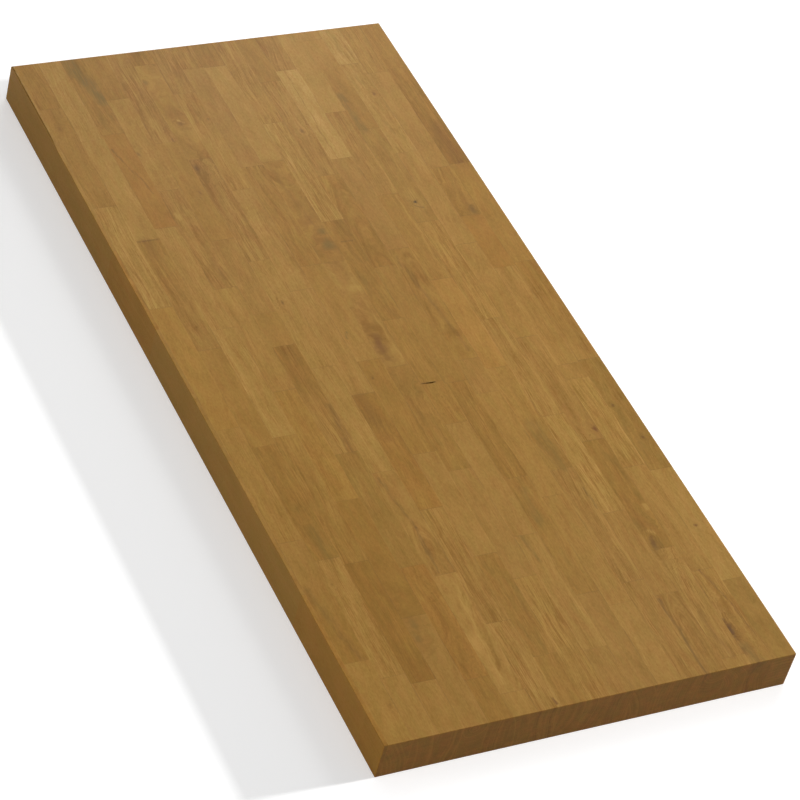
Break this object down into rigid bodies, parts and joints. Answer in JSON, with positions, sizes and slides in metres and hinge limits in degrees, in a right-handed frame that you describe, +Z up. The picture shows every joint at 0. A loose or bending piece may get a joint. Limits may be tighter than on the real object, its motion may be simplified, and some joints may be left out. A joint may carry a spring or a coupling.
{
  "type": "butcher block countertop",
  "caption": "Flat rectangular hardwood worktop slab, edge-glued from full-thickness staves laid in rows with staggered butt joints; arrises lightly rounded.",
  "frame": {"origin": "centre of the underside, on the surface that the slab rests on", "axes": "+X along the length, towards the end nearest the viewer in the picture; +Y across the depth, away from the ripped long edge; +Z up from the underside to the worktop face"},
  "size_m": [1.397, 0.635, 0.0635],
  "materials": {
    "hardwood": "sanded and oiled, satin, mixed brown and golden staves"
  },
  "bodies": {
    "root": {"edge_strip": "hardwood", "stave_row_01": "hardwood", "stave_row_02": "hardwood", "stave_row_03": "hardwood", "stave_row_04": "hardwood", "stave_row_05": "hardwood", "stave_row_06": "hardwood", "stave_row_07": "hardwood", "stave_row_08": "hardwood", "stave_row_09": "hardwood", "stave_row_10": "hardwood", "stave_row_11": "hardwood", "stave_row_12": "hardwood", "stave_row_13": "hardwood", "stave_row_14": "hardwood", "stave_row_15": "hardwood", "stave_row_16": "hardwood", "stave_row_17": "hardwood"}
  },
  "joints": []
}
